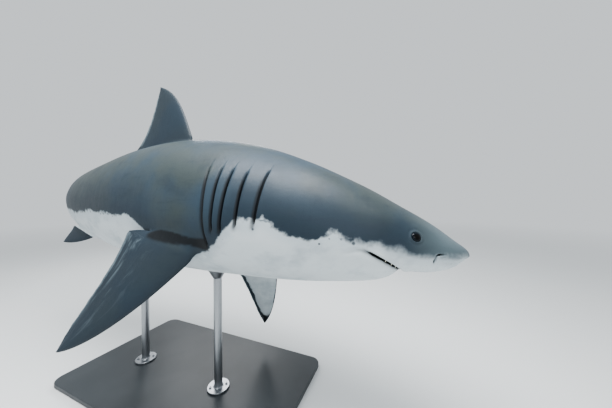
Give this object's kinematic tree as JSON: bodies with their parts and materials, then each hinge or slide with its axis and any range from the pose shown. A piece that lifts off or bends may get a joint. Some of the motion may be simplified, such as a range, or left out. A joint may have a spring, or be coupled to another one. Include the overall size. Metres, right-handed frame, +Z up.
{
  "type": "great white shark model",
  "caption": "Still, life-size great white shark, banking with its tail swept to its left, held on a plain flat base by short rods.",
  "frame": {"origin": "centre of the underside of the stand's base, under the centre of mass", "axes": "+X along the heading of the front of the trunk, +Y towards the shark's left side, +Z up"},
  "size_m": [3.2731, 1.7423, 1.8566],
  "materials": {
    "hide": "slate grey back over a white belly, satin, finely rough",
    "eye": "wet black",
    "base_paint": "satin charcoal",
    "rod_steel": "brushed"
  },
  "bodies": {
    "root": {"head": "hide", "lower_jaw": "hide", "gill_section": "hide", "trunk_front": "hide", "trunk_rear": "hide", "tail_front": "hide", "tail_stalk": "hide", "first_dorsal_fin": "hide", "second_dorsal_fin": "hide", "anal_fin": "hide", "caudal_fin_upper": "hide", "caudal_fin_lower": "hide", "pectoral_fin_right": "hide", "pectoral_fin_left": "hide", "pelvic_fin_right": "hide", "pelvic_fin_left": "hide", "eye_right": "eye", "eye_left": "eye", "stand_base": "base_paint", "stand_rod_front": "rod_steel", "stand_rod_rear": "rod_steel"}
  },
  "joints": []
}
